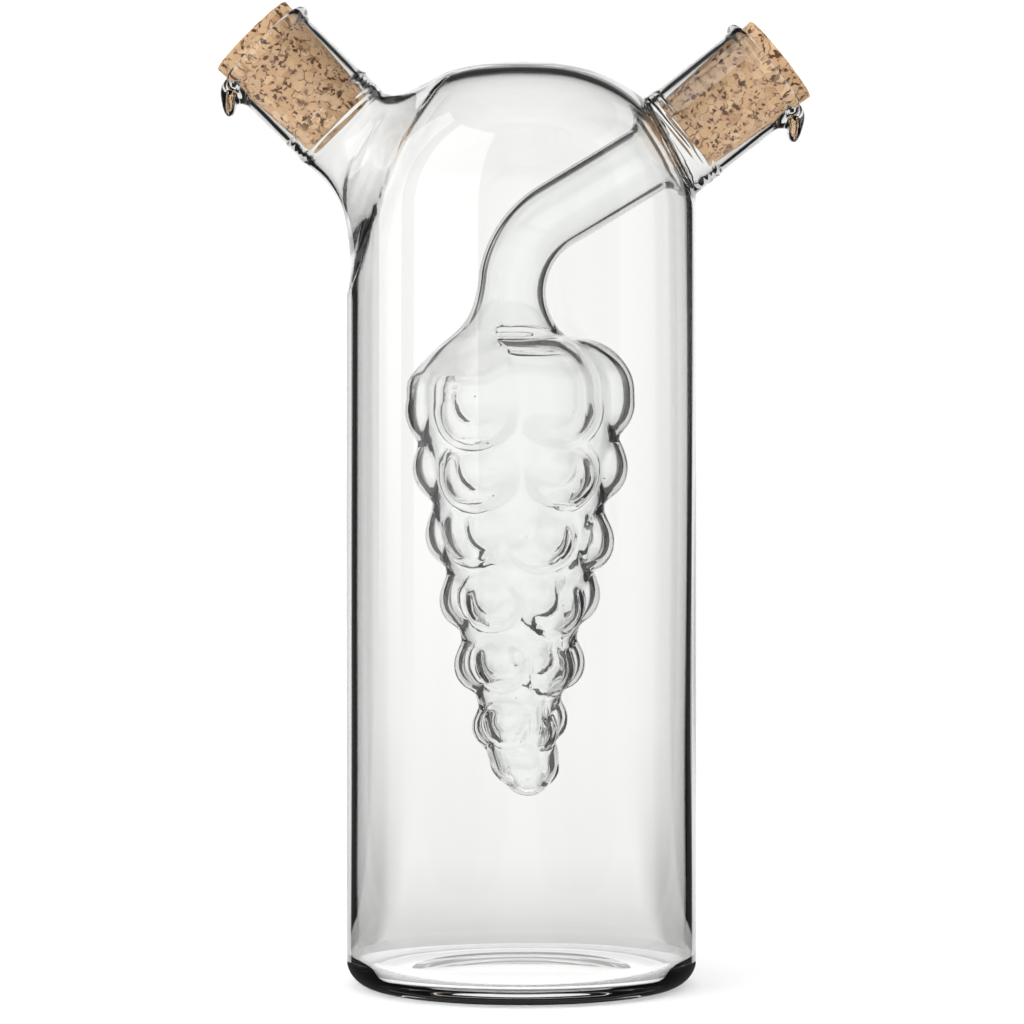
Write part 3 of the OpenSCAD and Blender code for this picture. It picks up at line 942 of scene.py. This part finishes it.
@dataclass
class CruetGlass:
    """The fused glass: bottle, oil neck, and vinegar neck with its stem and bunch."""

    bottle_r: float = 32.0
    height: float = 168.7
    wall: float = 1.9
    shoulder_r: float = 27.0
    crown_r: float = 53.0
    foot_r: float = 5.0
    floor: float = 3.0
    punt_r: float = 20.0
    punt_h: float = 1.8
    neck_r: float = 9.6
    bore_r: float = 8.4
    stem_r: float = 6.3
    stem_wall: float = 1.2
    stem_slope: float = 31.0
    bend_r: float = 16.5
    kink_r: float = 20.0
    kink_in: float = 1.4
    collar: float = 0.2
    collar_taper: float = 3.2
    flare: float = 8.2
    bunch_left: float = 1.8
    melt_over: float = 119.0
    bottle_around: int = 144
    tube_around: int = 96
    bunch_around: int = 112
    outer_rings: int = 118
    inner_rings: int = 92
    oil: Neck = field(default_factory=lambda: Neck(-1, 45.0, 26.3, 8.6, 18.5, 18.0))
    vinegar: Neck = field(default_factory=lambda: Neck(1, 38.5, 21.6, 4.5, 20.5, 5.0))
    rim: Rim = field(default_factory=Rim)
    bunch: GrapeBunch = field(default_factory=GrapeBunch)
    seeds: AirSeeds = field(default_factory=AirSeeds)
    finish: ClearGlass = field(default_factory=ClearGlass)

    def mouth(self, neck: Neck) -> np.ndarray:
        """Middle of a neck's rim."""
        slope = math.radians(neck.slope)
        crown_z = self.height - self.crown_r
        x0 = self.bottle_r - self.shoulder_r
        z0 = crown_z + math.sqrt((self.crown_r - self.shoulder_r) ** 2 - x0 ** 2)
        reach = math.sqrt(self.shoulder_r ** 2 - neck.drop ** 2) + neck.out
        return np.array([neck.side * (x0 + reach * math.cos(slope) + neck.drop * math.sin(slope)),
                         0.0, z0 + reach * math.sin(slope) - neck.drop * math.cos(slope)])

    def dome(self, inset: float, floor: float) -> Skin:
        """A domed bottle turned about Z.

        Args:
            inset: How far inside the outer skin it lies, 0 for the outer skin.
            floor: Height of its floor.

        Returns:
            The closed surface.
        """
        r, top = self.bottle_r - inset, self.height - inset
        crown, shoulder, foot = self.crown_r - inset, self.shoulder_r - inset, self.foot_r - inset * 0.9
        zc = self.height - self.crown_r
        zs = zc + math.sqrt((crown - shoulder) ** 2 - (r - shoulder) ** 2)
        meet = math.atan2(zs - zc, r - shoulder)
        arcs = []
        if inset == 0.0:
            ball = (self.punt_r ** 2 + self.punt_h ** 2) / (2 * self.punt_h)
            rr = np.array([2.0, 5.0, 8.0, 11.0, 14.0, 16.5, 18.5])
            arcs.append(np.stack([rr, self.punt_h - ball + np.sqrt(ball ** 2 - rr ** 2)], 1))
            arcs.append(np.array([[19.4, 0.11], [20.1, 0.02], [21.0, 0.0], [24.0, 0.0]]))
        else:
            rr = np.array([2.0, 5.0, 8.0, 12.0, 16.0, 20.0, 24.0])
            arcs.append(np.stack([rr, floor + 0.9 * (1 - (rr / 27.0) ** 2)], 1))
        t = np.linspace(-np.pi / 2, 0.0, 15)
        arcs.append(np.stack([r - foot + foot * np.cos(t), floor + foot + foot * np.sin(t)], 1))
        zz = np.concatenate([np.linspace(floor + foot, 112.0, 16)[1:], np.linspace(112.0, zs, 22)[1:]])
        arcs.append(np.stack([np.full(len(zz), r), zz], 1))
        t = np.linspace(0.0, meet, 28)[1:]
        arcs.append(np.stack([r - shoulder + shoulder * np.cos(t), zs + shoulder * np.sin(t)], 1))
        t = np.linspace(meet, np.pi / 2, 16)[1:-1]
        arcs.append(np.stack([crown * np.cos(t), zc + crown * np.sin(t)], 1))
        line = np.vstack(arcs)
        around = self.bottle_around
        turn = 2 * np.pi * np.arange(around) / around
        radius, z = line[:, :1], line[:, 1:]
        free = ease((z - floor - 6.0) / 12.0)
        sway = 0.035 if inset == 0.0 else 0.11
        wave = ripple(turn[None, :], z, (2, 3, 4, 7), 95.0, 11 if inset else 12)
        radius = radius + sway * free * wave * ease(radius / 12.0)
        points = np.stack([radius * np.cos(turn), radius * np.sin(turn),
                           np.broadcast_to(z, (len(line), around))], -1)
        bottom = self.punt_h if inset == 0.0 else floor + 0.9
        return Skin.loft(points, np.array([0.0, 0.0, bottom]), np.array([0.0, 0.0, top]))

    def at_oil_mouth(self, points: np.ndarray) -> np.ndarray:
        """How near points are to where the oil neck opens into the bottle, from 0 to 1."""
        inward = (points - self.mouth(self.oil)) @ self.oil.axis()
        up = ease((points[:, 2] - self.melt_over + 9.0) / 4.0)
        return up * ease((inward - self.oil.weld_at - 2.4) / 2.5) * (points[:, 0] < -4.0)

    def off_the_welds(self, points: np.ndarray) -> np.ndarray:
        """1 for the points over the bunch that lie clear of the ridges of a neck's weld, else 0."""
        clear = points[:, 2] > self.melt_over
        for neck in (self.oil, self.vinegar):
            inward = (points - self.mouth(neck)) @ neck.axis()
            ridges = (inward > neck.weld_at - 2.2) & (inward < neck.weld_at + 2.6)
            clear &= ~(ridges & (neck.side * points[:, 0] > 0))
        return clear.astype(float)

    def oil_route(self) -> Route:
        """Middle line from the oil mouth in, down to where the tube stands upright."""
        neck, mouth = self.oil, self.mouth(self.oil)
        slope = math.radians(neck.slope)
        run = neck.blend_r + self.neck_r
        cx = self.bottle_r + neck.blend_r
        cz = mouth[2] - (run - math.sin(slope) * (cx - abs(mouth[0]))) / math.cos(slope)
        depth = (abs(mouth[0]) - cx) * math.cos(slope) + (mouth[2] - cz) * math.sin(slope)
        turn = math.radians(90.0 - neck.slope)
        return Route.through(mouth, -neck.slope, [(depth, 0.0), (turn * run, -run), (6.0, 0.0)])

    def vinegar_route(self) -> tuple[Route, dict[str, float]]:
        """Middle line from the vinegar mouth to the weld of the bunch, with its marks."""
        neck, mouth = self.vinegar, self.mouth(self.vinegar)
        kink = math.radians(neck.slope - self.stem_slope)
        half = self.kink_r * math.tan(kink / 2)
        to_kink = neck.out + self.kink_in
        kink_at = mouth + neck.axis() * to_kink
        slope = math.radians(self.stem_slope)
        run = (kink_at[0] + self.bunch_left) / math.cos(slope)
        bend = math.radians(90.0 - self.stem_slope)
        corner = self.bend_r * math.tan(bend / 2)
        legs = [(to_kink - half, 0.0), (kink * self.kink_r, -self.kink_r), (run - half - corner, 0.0),
                (bend * self.bend_r, self.bend_r), (self.flare, 0.0)]
        marks = {"kink_end": legs[0][0] + legs[1][0]}
        marks["bend"] = marks["kink_end"] + legs[2][0]
        marks["flare"] = marks["bend"] + legs[3][0]
        marks["weld"] = marks["flare"] + self.flare
        return Route.through(mouth, 180.0 + neck.slope, legs), marks

    def weld_wave(self, run: np.ndarray, turn: np.ndarray, at: float, seed: int, high: float,
                  low: float) -> np.ndarray:
        """Ridges of a weld round a neck.

        Args:
            run: Depths from the rim.
            turn: Angles round the neck, 0 on its low side.
            at: Depth of the weld.
            seed: Which set of wrinkles.
            high: Height of the ridges on the upper side.
            low: Height of the ridges on the low side.

        Returns:
            How much the tube stands out.
        """
        size = low + (high - low) * (0.5 - 0.5 * np.cos(turn))[None, :]
        total = np.zeros((len(run), len(turn)))
        rng = np.random.default_rng(seed)
        for number, shift in enumerate((-1.9, -1.0, -0.1, 0.9, 1.9)):
            sway = at + shift + 0.28 * ripple(turn, 0 * turn, (1, 2, 5), 1.0, seed + number)[None, :]
            share = 0.7 + 0.55 * ripple(turn, 0 * turn, (2, 3, 7), 1.0, seed + 20 + number)[None, :]
            ridge = np.exp(-((run[:, None] - sway) / 0.36) ** 2)
            total += np.clip(share, 0.1, 1.3) * rng.uniform(0.6, 1.1) * ridge
        swell = 0.45 * np.exp(-((run[:, None] - at) / 2.3) ** 2)
        return size * (total + swell)

    def tube(self, inside: bool, run: np.ndarray, marks: dict[str, float], around: int) -> np.ndarray:
        """Radii of the vinegar tube's skin from its neck to the bunch."""
        turn = 2 * np.pi * np.arange(around) / around
        wall = (self.neck_r - self.bore_r) if inside else 0.0
        wide, narrow = self.neck_r - wall, self.stem_r - (self.stem_wall if inside else 0.0)
        shrink = ease((run - marks["kink_end"] - self.collar) / self.collar_taper)
        radius = wide + (narrow - wide) * shrink
        open_up = np.clip((run - marks["flare"]) / self.flare, 0.0, 1.0)
        mouth = self.bunch.weld_r - (self.stem_wall if inside else 0.0)
        radius = radius + (mouth - narrow) * (1.0 - np.cos(open_up * np.pi / 2))
        radius = np.broadcast_to(radius[:, None], (len(run), around)).copy()
        drawn = ripple(turn[None, :], run[:, None], (2, 3), 42.0, 23 + inside)
        radius += 0.07 * drawn * ease((run - 20) / 8)[:, None]
        rough = self.weld_wave(run, turn, self.vinegar.weld_at + 1.2, 31, 0.34, 0.22)
        seal = np.exp(-((run[:, None] - marks["kink_end"] + 0.4) / 0.8) ** 2)
        ring = np.exp(-((run[:, None] - marks["weld"] + 0.4 + 0.25 * np.sin(3 * turn)) / 0.5) ** 2)
        if inside:
            return radius - 0.8 * rough - 0.5 * ring
        return radius + rough + 0.2 * seal + 0.7 * ring

    def vinegar_skin(self) -> Skin:
        """The vinegar neck, the stem and the bunch as one hollow skin, open at the mouth."""
        (route, marks), around = self.vinegar_route(), self.bunch_around
        kink, weld_run = marks["kink_end"], marks["weld"]
        run = np.concatenate([np.arange(12.6, 16.5, 0.7), np.arange(16.5, kink + 1.0, 0.32),
                              np.arange(kink + 1.0, kink + 5.0, 0.5),
                              np.arange(kink + 5.0, kink + 9.0, 0.5),
                              np.arange(kink + 9.0, weld_run - 3.0, 0.9),
                              np.arange(weld_run - 3.0, weld_run - 0.1, 0.45)])
        outer = route.rings(run, self.tube(False, run, marks, around), around)
        inner = route.rings(run, self.tube(True, run, marks, around), around)
        weld = route.at(np.array([marks["weld"]]))[0][0]
        grapes = self.bunch.rings(weld, around, self.outer_rings, False)
        hollow = self.bunch.rings(weld, around, self.inner_rings, True)
        rim = self.rim.rings(self.vinegar, self.mouth(self.vinegar), around)
        rings = np.concatenate([grapes[::-1], outer[::-1], rim, inner, hollow])
        tip = weld + np.array([self.bunch.aside(np.array(self.bunch.length)), 0.0, -self.bunch.length])
        return Skin.loft(rings, tip, tip + np.array([0.0, 0.0, self.bunch.wall]))

    def oil_skin(self) -> Skin:
        """The oil neck from its rim to a little past its weld."""
        route, around = self.oil_route(), self.tube_around
        turn = 2 * np.pi * np.arange(around) / around
        run = np.concatenate([np.arange(12.5, 15.0, 0.6), np.arange(15.0, self.oil.weld_at + 3.4, 0.32)])
        rough = self.weld_wave(run, turn, self.oil.weld_at + 0.6, 41, 0.42, 0.16)
        fade = ease((self.oil.weld_at + 3.3 - run) / 0.8)[:, None]
        outer = route.rings(run, self.neck_r + rough * fade, around, -1)
        inner = route.rings(run, self.bore_r - 0.8 * rough * fade, around, -1)
        rim = self.rim.rings(self.oil, self.mouth(self.oil), around)
        return Skin.loft(np.concatenate([outer[::-1], rim, inner]))

    def rod(self, route: Route, first: float, last: float, radius: float, turned: int,
            thinner: float = 0.0) -> Skin:
        """A solid rod along a route.

        Args:
            route: The route.
            first: Where it starts on the route.
            last: Where it ends.
            radius: Its radius.
            turned: 1 where the route's side direction is the low side, and -1 where it isn't.
            thinner: How much thinner its far end is.

        Returns:
            The rod.
        """
        run = np.arange(first, last, 0.6)
        size = radius - thinner * ease((run - first) / (last - first) * 1.3 - 0.3)
        rings = route.rings(run, size, self.tube_around, turned)
        ends, _ = route.at(np.array([first, run[-1]]))
        return Skin.loft(rings, ends[0], ends[1])

    def build(self) -> bpy.types.Object:
        """Fuses and dresses the glass.

        Returns:
            The piece.
        """
        glass = self.dome(0.0, 0.0).piece("cruet_glass")
        oil, (vinegar, marks) = self.oil_route(), self.vinegar_route()
        end, weld_at, half_wall = float(oil.runs[-1]), self.oil.weld_at, (self.neck_r + self.bore_r) / 2
        parts = [
            (self.rod(oil, weld_at - 0.6, end, self.neck_r - 0.05, -1, 0.25), Fuse.JOIN),
            (self.dome(self.wall, self.floor), Fuse.CUT),
            (self.rod(oil, weld_at - 3.0, end, self.bore_r + 0.05, -1, 1.05), Fuse.CUT),
            (self.rod(vinegar, 10.0, marks["kink_end"] + 5.0, half_wall, 1), Fuse.CUT),
            (self.oil_skin(), Fuse.JOIN),
            (self.vinegar_skin(), Fuse.JOIN),
        ]
        for number, (skin, way) in enumerate(parts):
            fuse(glass, skin.piece(f"helper_{number}"), way)
            LOG.info("fused %d: %d faces", number, len(glass.data.polygons))
        melt(glass, crease=28.0, reach=2.2, rounds=5, share=self.off_the_welds)
        melt(glass, crease=12.0, reach=11.0, rounds=110, share=self.at_oil_mouth)
        clear = self.finish.make()
        glass.data.materials.clear()
        glass.data.materials.append(clear)
        weld = vinegar.at(np.array([marks["weld"]]))[0][0]
        skins = [self.bunch.rings(weld, 72, 60, inside) for inside in (False, True)]
        self.seeds.blow_into(glass, (skins[0] + skins[1])[6:-6] / 2, clear)
        glass.data.shade_smooth()
        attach(glass, "cruet")
        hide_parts("bottle", "oil_neck", "vinegar_neck", "stem_tube", "grape_flask")
        LOG.info("glass: %d triangles", sum(len(p.vertices) - 2 for p in glass.data.polygons))
        return glass


# Corks


@dataclass
class Cork:
    """A tapered stopper of pressed cork, with open pits where granules broke out."""

    name: str
    neck: Neck
    mouth: np.ndarray
    body: str
    seed: int
    top_r: float = 8.8
    end_r: float = 7.4
    length: float = 22.5
    proud: float = 2.4
    edge: float = 0.45
    around: int = 150
    granule: float = 1.5
    lost: float = 0.06
    seam_deep: float = 0.05
    pit_deep: float = 0.26

    def outline(self) -> np.ndarray:
        """Half section from the middle of the outer end to the middle of the inner end."""
        face = np.linspace(0.0, self.top_r - self.edge, 22)[1:]
        corner = np.radians(np.linspace(90.0, 0.0, 5))[1:-1]
        side = np.linspace(-self.edge, -self.length + self.edge, 56)
        width = self.top_r + (self.end_r - self.top_r) * (-side / self.length)
        low = np.radians(np.linspace(0.0, -90.0, 5))[1:-1]
        end = np.linspace(self.end_r - self.edge, 0.0, 18)[:-1]
        return np.vstack([
            np.stack([face, np.zeros(len(face))], 1),
            np.stack([self.top_r - self.edge + self.edge * np.cos(corner),
                      -self.edge + self.edge * np.sin(corner)], 1),
            np.stack([width, side], 1),
            np.stack([self.end_r - self.edge + self.edge * np.cos(low),
                      -self.length + self.edge + self.edge * np.sin(low)], 1),
            np.stack([end, np.full(len(end), -self.length)], 1)])

    def pits(self, points: np.ndarray) -> tuple[np.ndarray, np.ndarray]:
        """Depth of the seams and pits between the granules, and how far each point is darkened: strongly
        in the pits, as painted shade, and a little along the seams.
        """
        rng = np.random.default_rng(self.seed)
        count = int(np.pi * self.top_r ** 2 * self.length / self.granule ** 3 * 1.3)
        low, high = (-self.top_r, -self.top_r, -self.length), (self.top_r, self.top_r, 0.0)
        seeds = rng.uniform(low, high, (count, 3))
        lost = rng.uniform(0.0, 1.0, count) < self.lost
        far = np.sqrt(((points[:, None, :] - seeds[None, :, :]) ** 2).sum(-1))
        order = np.argpartition(far, 1, axis=1)[:, :2]
        near = np.take_along_axis(far, order, axis=1)
        order = np.take_along_axis(order, np.argsort(near, axis=1), axis=1)
        near = np.sort(near, axis=1)
        gap = near[:, 1] - near[:, 0]
        seam = np.exp(-gap / 0.16)
        pit = lost[order[:, 0]] * ease(gap / 0.5) * ease((1.25 - near[:, 0]) / 0.6)
        return self.seam_deep * seam + self.pit_deep * pit, np.clip(pit + 0.15 * seam, 0.0, 1.0)

    def build(self, finish: bpy.types.Material) -> bpy.types.Object:
        """Makes the cork, seated in its neck.

        Args:
            finish: The cork material.

        Returns:
            The piece.
        """
        line = self.outline()
        turn = 2 * np.pi * np.arange(self.around) / self.around
        ring = np.stack([np.cos(turn), np.sin(turn), 0 * turn], -1)
        rings = line[:, None, :1] * ring + np.array([0.0, 0.0, 1.0]) * line[:, None, 1:]
        skin = Skin.loft(rings, np.zeros(3), np.array([0.0, 0.0, -self.length]))
        step = np.gradient(line, axis=0)
        inward = np.stack([-step[:, 1], step[:, 0]], 1)
        inward = inward / np.linalg.norm(inward, axis=1, keepdims=True)
        to_middle = np.array([0.0, -self.length / 2]) - line
        inward = inward * np.sign(np.sum(inward * to_middle, axis=1))[:, None]
        push = inward[:, None, :1] * ring + np.array([0.0, 0.0, 1.0]) * inward[:, None, 1:]
        push = np.vstack([push.reshape(-1, 3), [[0, 0, -1], [0, 0, 1]]])
        depth, pit_shade_share = self.pits(skin.points)
        local = skin.points + push * depth[:, None]
        out, low = -self.neck.axis(), self.neck.low()
        across = np.cross(out, low)
        seat = self.mouth + out * self.proud
        skin.points = seat + local[:, :1] * low + local[:, 1:2] * across + local[:, 2:] * out
        if skin.volume() < 0:
            skin.faces = [tuple(reversed(face)) for face in skin.faces]
        cork = skin.piece(f"{self.name}_pressed")
        # The share of painted shade in the pits goes to the cork material as the pit attribute.
        mark = cork.data.attributes.new("pit", "FLOAT", "POINT")
        mark.data.foreach_set("value", pit_shade_share.astype(np.float32))
        cork.data.shade_smooth()
        cork.data.materials.append(finish)
        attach(cork, self.body)
        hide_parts(self.name)
        LOG.info("%s: %d faces", cork.name, len(cork.data.polygons))
        return cork


# Studio


class View(Enum):
    """Numbers of the photograph's view."""

    DISTANCE = 0.85
    HEIGHT = 0.120
    LENS = 163.4
    SHIFT_X = -0.0093
    SHIFT_Y = -0.180


@dataclass
class Studio:
    """Pale table, light tent, soft boxes and the camera."""

    tent_r: float = LightTent.radius
    tent_h: float = 0.62
    apron_z: float = 0.0004
    apron_r: float = 0.036
    punt_r: float = 0.0285
    punt_z: float = 0.00005
    box_r: float = 0.7
    table_r: float = 3.0
    room: float = 1.16
    room_in_gloss: float = 0.07

    def panel(self, name: str, r: float, span: tuple[float, float], rise: tuple[float, float],
              steps: int, finish: bpy.types.Material, gloss: bool) -> bpy.types.Object:
        """One upright panel, curved round the cruet.

        Args:
            name: Its name.
            r: Its radius.
            span: Its two edges, in degrees from behind the cruet towards +X.
            rise: Height of its foot and of its top.
            steps: Faces along it.
            finish: Its material.
            gloss: Whether it shows as a reflection, or else through the glass.

        Returns:
            The panel.
        """
        turns = np.radians(np.linspace(span[0], span[1], steps + 1))
        ring = [(r * math.sin(t), r * math.cos(t)) for t in turns]
        points = [(x, y, z) for z in rise for x, y in ring]
        faces = [(k, k + 1, k + steps + 2, k + steps + 1) for k in range(steps)]
        return self.unseen(name, points, faces, finish, gloss)

    def unseen(self, name: str, points: list[tuple[float, float, float]], faces: list[tuple[int, ...]],
               finish: bpy.types.Material, gloss: bool) -> bpy.types.Object:
        """A thing that shows only in the glass, and not to the camera.

        Args:
            name: Its name.
            points: Its points.
            faces: Its faces.
            finish: Its material.
            gloss: Whether it shows as a reflection, or else through the glass.

        Returns:
            The thing.
        """
        mesh = bpy.data.meshes.new(name)
        mesh.from_pydata(points, [], faces)
        mesh.materials.append(finish)
        thing = bpy.data.objects.new(name, mesh)
        bpy.context.scene.collection.objects.link(thing)
        thing.visible_camera = False
        thing.visible_shadow = False
        thing.visible_diffuse = False
        thing.visible_glossy = gloss
        thing.visible_transmission = not gloss
        return thing

    def tent(self) -> None:
        """The ring of bands with its apron on the table, and the disc of light under the foot, which
        stands for the table lit through the glass.
        """
        finish = LightTent().make()
        steps = 180
        self.panel("light_tent", self.tent_r, (0.0, 360.0), (self.apron_z, self.tent_h), steps,
                   finish, False)
        turns = 2 * np.pi * np.arange(steps) / steps
        points = [(r * math.sin(t), r * math.cos(t), self.apron_z)
                  for r in (self.apron_r, self.tent_r) for t in turns]
        faces = [(k, (k + 1) % steps, (k + 1) % steps + steps, k + steps) for k in range(steps)]
        self.unseen("tent_apron", points, faces, finish, False)
        # A glowing disc, seen only through the glass, stands for the table lit under the foot.
        points = [(self.punt_r * math.sin(t), self.punt_r * math.cos(t), self.punt_z) for t in turns]
        glow = SoftBox("punt_glow", 1.15, 1.0).make()
        self.unseen("punt_light", points, [tuple(range(steps))], glow, False)

    def light(self, name: str, turn: float, rise: float, distance: float, wide: float, tall: float,
              watts: float) -> None:
        """One soft light that faces the middle of the cruet.

        Args:
            name: Its name.
            turn: Degrees from behind the camera towards +X.
            rise: Degrees above the level.
            distance: Distance from the cruet.
            wide: Width.
            tall: Height.
            watts: Power.
        """
        lamp = bpy.data.lights.new(name, "AREA")
        lamp.shape, lamp.size, lamp.size_y, lamp.energy = "RECTANGLE", wide, tall, watts
        thing = bpy.data.objects.new(name, lamp)
        bpy.context.scene.collection.objects.link(thing)
        middle = Vector((0.0, 0.0, 0.09))
        a, e = math.radians(turn), math.radians(rise)
        spot = Vector((math.sin(a) * math.cos(e), -math.cos(a) * math.cos(e), math.sin(e))) * distance
        thing.location = middle + spot
        thing.rotation_euler = spot.to_track_quat("Z", "Y").to_euler()
        thing.visible_camera = False
        thing.visible_glossy = False
        thing.visible_transmission = False

    def world(self) -> None:
        """Even white light from all round, dimmer in reflections."""
        world = bpy.data.worlds.new("white_room")
        bpy.context.scene.world = world
        world.use_nodes = True
        tree = world.node_tree
        ray = Wire(tree, tree.nodes.new("ShaderNodeLightPath").outputs["Is Glossy Ray"])
        strength = self.room - ray * (self.room - self.room_in_gloss)
        back = tree.nodes["Background"]
        back.inputs["Color"].default_value = (1.0, 1.0, 1.0, 1.0)
        tree.links.new(strength.socket, back.inputs["Strength"])

    def table(self) -> None:
        """The pale table top."""
        count = 64
        turns = [2 * math.pi * k / count for k in range(count)]
        points = [(self.table_r * math.cos(t), self.table_r * math.sin(t), 0.0) for t in turns]
        mesh = bpy.data.meshes.new("table")
        mesh.from_pydata(points, [], [tuple(range(count))])
        thing = bpy.data.objects.new("table", mesh)
        bpy.context.scene.collection.objects.link(thing)
        mesh.materials.append(PaleTable().make())
        thing.visible_glossy = False

    def camera(self) -> None:
        """The camera of the photograph: level, a little left of the cruet's middle."""
        lens = bpy.data.cameras.new("view")
        lens.lens, lens.sensor_width, lens.sensor_fit = View.LENS.value, 36.0, "HORIZONTAL"
        lens.shift_x, lens.shift_y = View.SHIFT_X.value, View.SHIFT_Y.value
        lens.clip_start, lens.clip_end = 0.01, 20.0
        thing = bpy.data.objects.new("view", lens)
        bpy.context.scene.collection.objects.link(thing)
        thing.location = (0.0, -View.DISTANCE.value, View.HEIGHT.value)
        thing.rotation_euler = (math.radians(90.0), 0.0, 0.0)
        bpy.context.scene.camera = thing

    def build(self) -> None:
        """Sets up all of it."""
        scene = bpy.context.scene
        scene.view_settings.view_transform = "Standard"
        scene.cycles.max_bounces = 32
        scene.cycles.transmission_bounces = 32
        scene.cycles.glossy_bounces = 8
        scene.cycles.diffuse_bounces = 4
        self.world()
        self.table()
        self.tent()
        for name, span, top, steps, box in (
                ("soft_box_wide", (207.4, 253.0), 1.3, 24, SoftBox("box_wide", 2.7)),
                ("soft_box_narrow", (263.5, 285.0), 1.3, 16, SoftBox("box_narrow", 2.4)),
                ("window_right", (43.0, 114.0), 0.9, 32, SoftBox("window", 0.9)),
                ("backdrop", (-31.0, 31.0), 0.5, 24, SoftBox("backdrop", 1.2, 1.0))):
            self.panel(name, self.box_r, span, (-0.1, top), steps, box.make(), True)
        self.light("key", turn=-50.0, rise=30.0, distance=0.9, wide=0.6, tall=0.6, watts=2.2)
        self.light("overhead", turn=0.0, rise=84.0, distance=1.0, wide=0.8, tall=0.8, watts=1.5)
        self.camera()


def main() -> None:
    """Builds each piece in order and reports it."""
    logging.basicConfig(level=logging.INFO, format="%(name)s: %(message)s")
    glass = CruetGlass()
    glass.build()
    finish = PressedCork().make()
    Cork("oil_cork", glass.oil, glass.mouth(glass.oil), "oil_stopper", 7).build(finish)
    Cork("vinegar_cork", glass.vinegar, glass.mouth(glass.vinegar), "vinegar_stopper", 8).build(finish)
    Studio().build()


if __name__ == "__main__":
    main()
